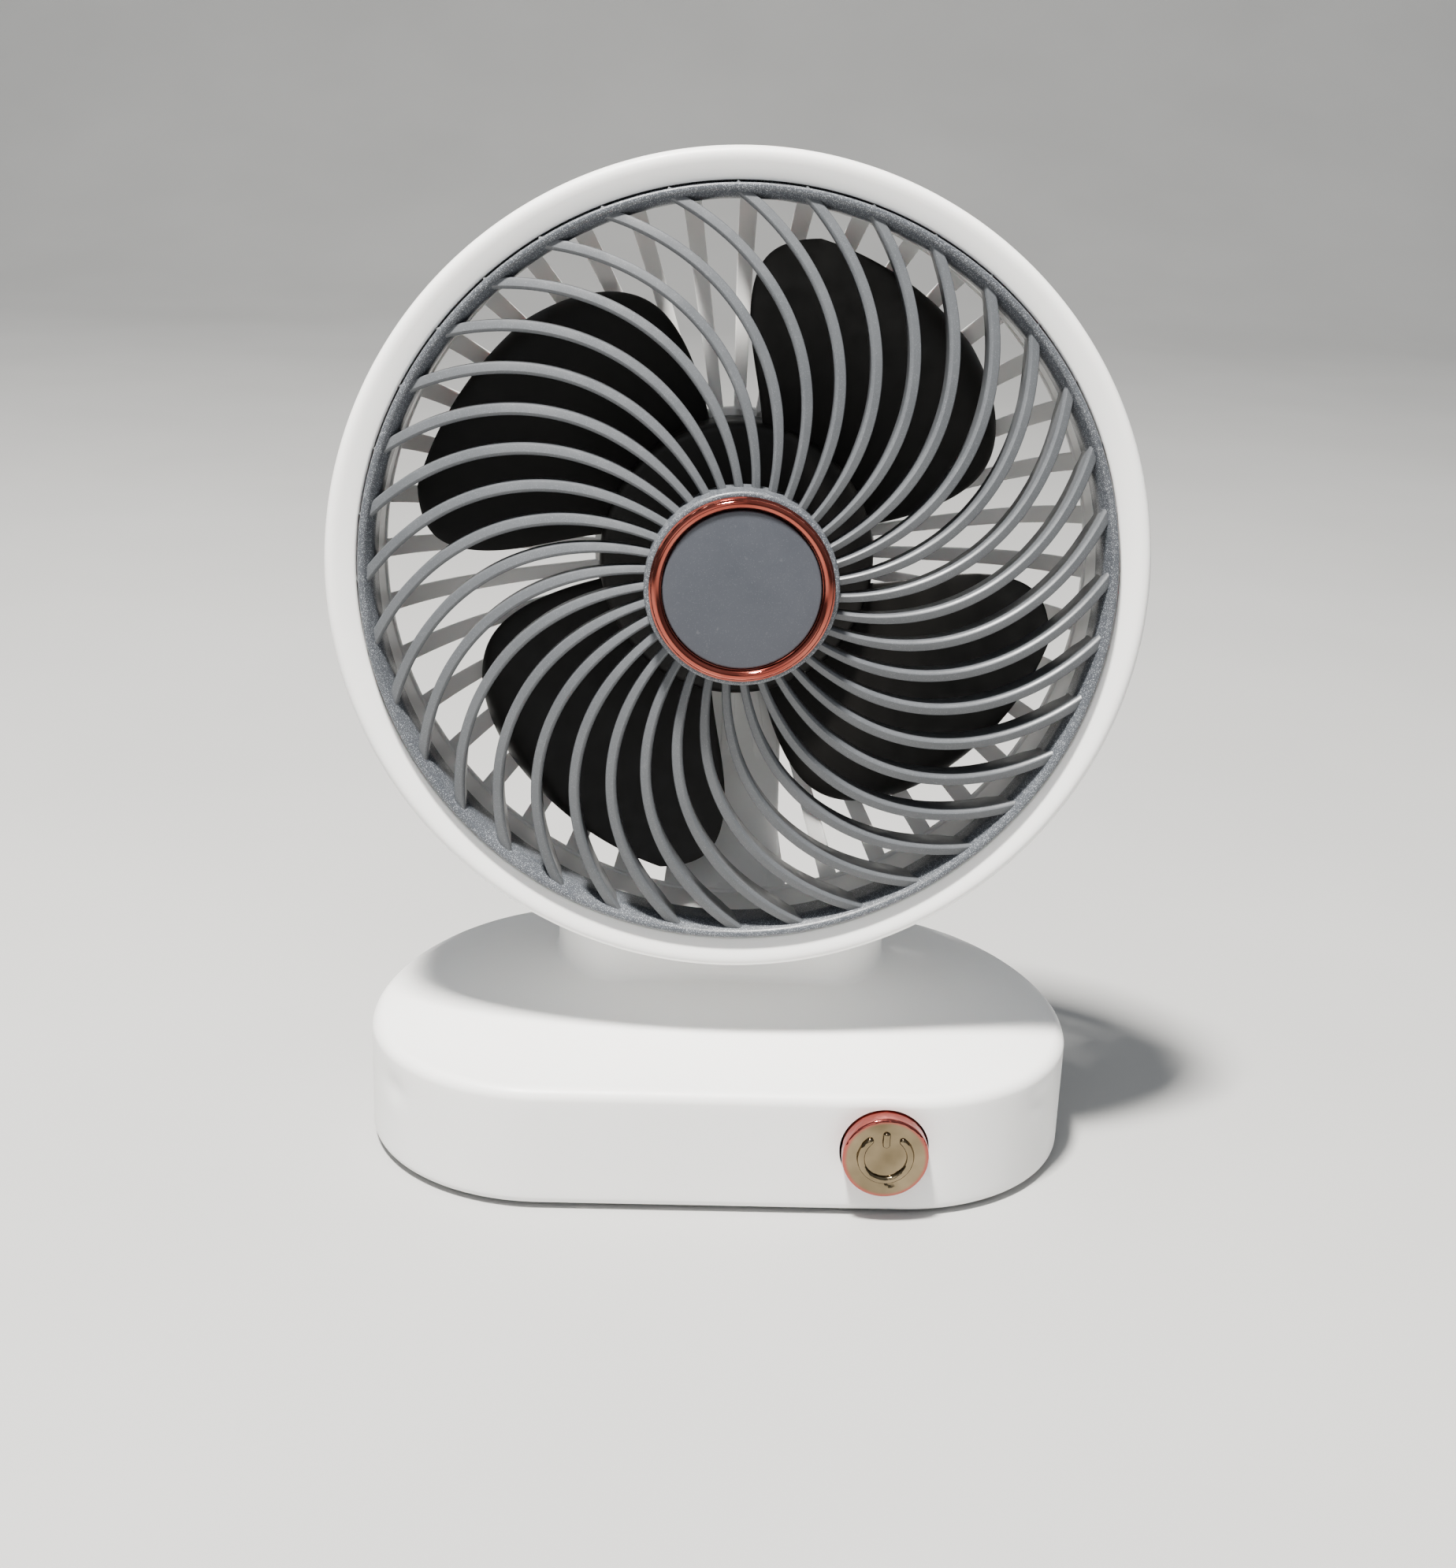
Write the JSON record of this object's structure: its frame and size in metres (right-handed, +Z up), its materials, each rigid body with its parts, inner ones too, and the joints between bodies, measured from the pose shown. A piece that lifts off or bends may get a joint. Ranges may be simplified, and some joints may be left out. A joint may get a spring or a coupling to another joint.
{
  "type": "desk fan",
  "caption": "Small round desk fan: tilting head with spiral front grille, ribbed rear guard and spinning rotor on an oval battery base with a push button.",
  "frame": {"origin": "on the ground under the middle of the fan's overall width and depth", "axes": "+Z up, -Y the way the fan blows (its front), +X to the right seen from the front"},
  "size_m": [0.17, 0.0838, 0.2199],
  "materials": {
    "white_plastic": "satin white",
    "grey_plastic": "satin slate grey with fine metallic flake",
    "dark_plastic": "satin",
    "rose_gold": "polished rose-gold plating",
    "steel": "plain",
    "brass": "plain",
    "copper": "enamelled winding",
    "rubber": "matte",
    "circuit_board": "solder mask",
    "cell_wrap": "shrink wrap"
  },
  "bodies": {
    "base": {"base_shell": "white_plastic", "base_plate": "white_plastic", "foot_front_left": "rubber", "foot_front_right": "rubber", "foot_back_left": "rubber", "foot_back_right": "rubber", "base_screw_1": "steel", "base_screw_2": "steel", "base_screw_3": "steel", "base_screw_4": "steel", "hinge_bracket": "steel", "hinge_pin": "steel", "pin_clip": "steel", "washer_left": "dark_plastic", "washer_right": "dark_plastic", "bracket_screw_left": "steel", "bracket_screw_right": "steel", "tact_switch": "dark_plastic", "switch_board": "circuit_board", "circuit_board": "circuit_board", "control_chip": "dark_plastic", "board_capacitor": "dark_plastic", "charging_port": "steel", "board_screw_1": "steel", "board_screw_2": "steel", "battery_holder": "dark_plastic", "battery_cell": "cell_wrap"},
    "head": {"front_bezel": "white_plastic", "front_grille": "grey_plastic", "hub_ring": "rose_gold", "hub_cap": "grey_plastic", "rear_housing": "white_plastic", "rear_guard": "white_plastic", "housing_screw_1": "steel", "housing_screw_2": "steel", "housing_screw_3": "steel", "housing_screw_4": "steel", "motor_can": "steel", "motor_end_cap": "dark_plastic", "motor_magnet": "dark_plastic", "front_bush": "brass", "rear_bush": "brass", "motor_mount": "dark_plastic", "mount_screw_left": "steel", "mount_screw_right": "steel", "motor_cover": "white_plastic"},
    "rotor": {"fan_rotor": "dark_plastic", "rotor_nut": "brass", "motor_shaft": "steel", "motor_armature": "copper"},
    "button": {"power_button": "rose_gold", "switch_plunger": "dark_plastic", "button_spring": "steel"}
  },
  "joints": [
    {"name": "head_tilt", "type": "hinge", "parent": "base", "child": "head", "pos_m": [0, 0.017, 0.041], "axis": [-1, 0, 0], "range_deg": [-8, 20]},
    {"name": "rotor_spin", "type": "hinge", "parent": "head", "child": "rotor", "pos_m": [0, -0.016, 0.1353], "axis": [0, -0.9976, 0.0698], "continuous": true},
    {"name": "button_press", "type": "slide", "parent": "base", "child": "button", "axis": [0, 1, 0], "range_m": [0, 0.001], "stiffness_N_per_m": 900, "springref_m": -0.0008}
  ]
}
